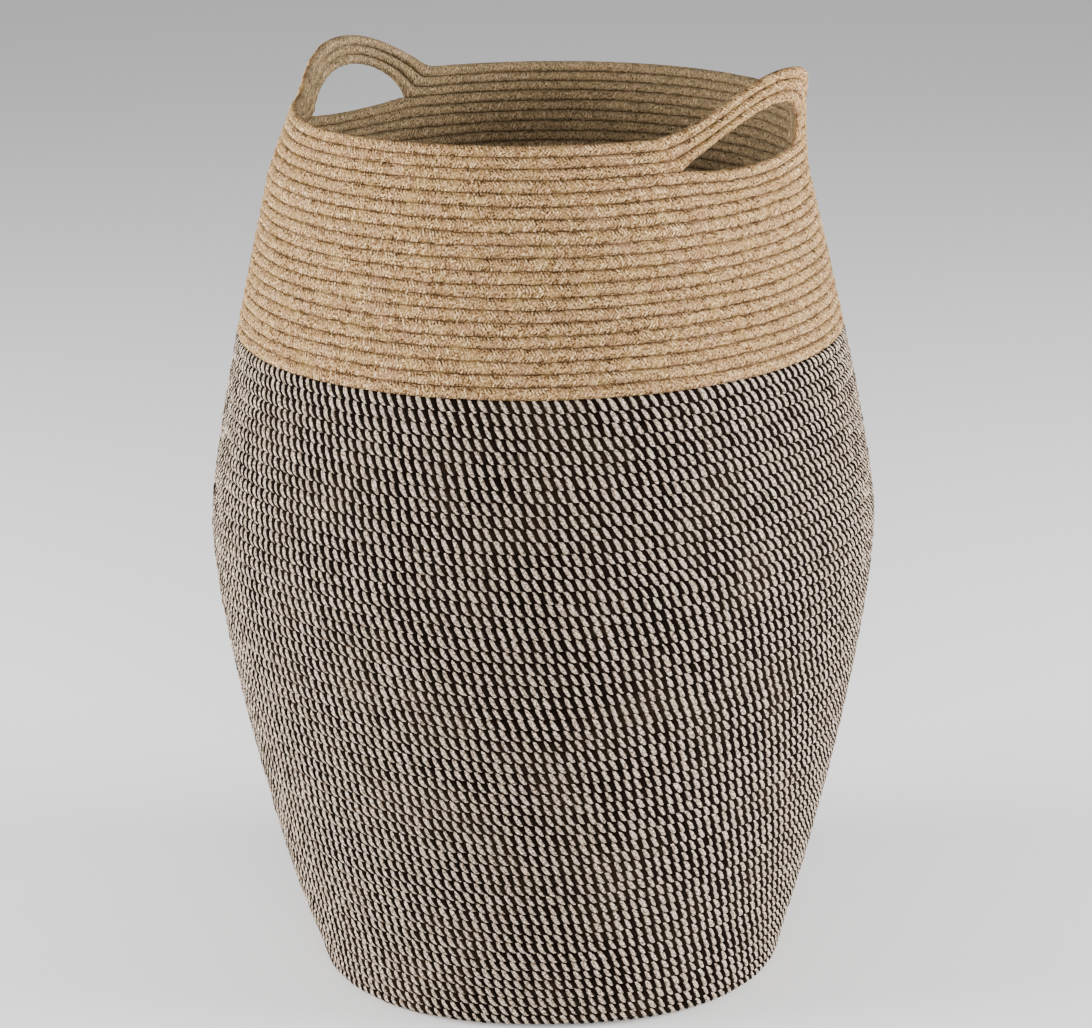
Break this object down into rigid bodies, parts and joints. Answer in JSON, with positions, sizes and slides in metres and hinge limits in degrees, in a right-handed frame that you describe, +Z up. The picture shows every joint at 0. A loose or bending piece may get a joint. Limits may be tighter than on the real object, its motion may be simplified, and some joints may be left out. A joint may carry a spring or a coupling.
{
  "type": "laundry hamper",
  "caption": "Tall barrel-shaped laundry hamper of coiled braided rope, open at the top, two-tone below and jute above, with two arched rim handles over finger gaps.",
  "frame": {"origin": "middle of the underside of the floor coil", "axes": "+Z up along the hamper's own axis, +X and -X through the middles of the two handles"},
  "size_m": [0.47, 0.47, 0.6538],
  "materials": {
    "two_tone_rope": "braided black and cream cotton rope, matt",
    "jute_rope": "braided jute rope, matt"
  },
  "bodies": {
    "root": {"floor_coil_start": "two_tone_rope", "floor_coil_inner": "two_tone_rope", "floor_coil_outer": "two_tone_rope", "heel_courses": "two_tone_rope", "two_tone_wall_01": "two_tone_rope", "two_tone_wall_02": "two_tone_rope", "two_tone_wall_03": "two_tone_rope", "two_tone_wall_04": "two_tone_rope", "two_tone_wall_05": "two_tone_rope", "two_tone_wall_06": "two_tone_rope", "two_tone_wall_07": "two_tone_rope", "two_tone_wall_08": "two_tone_rope", "two_tone_wall_09": "two_tone_rope", "two_tone_wall_10": "two_tone_rope", "jute_wall_1": "jute_rope", "jute_wall_2": "jute_rope", "jute_wall_3": "jute_rope", "jute_wall_4": "jute_rope", "jute_wall_5": "jute_rope", "handle_rope_lower": "jute_rope", "handle_rope_middle": "jute_rope", "handle_rope_top": "jute_rope"}
  },
  "joints": []
}
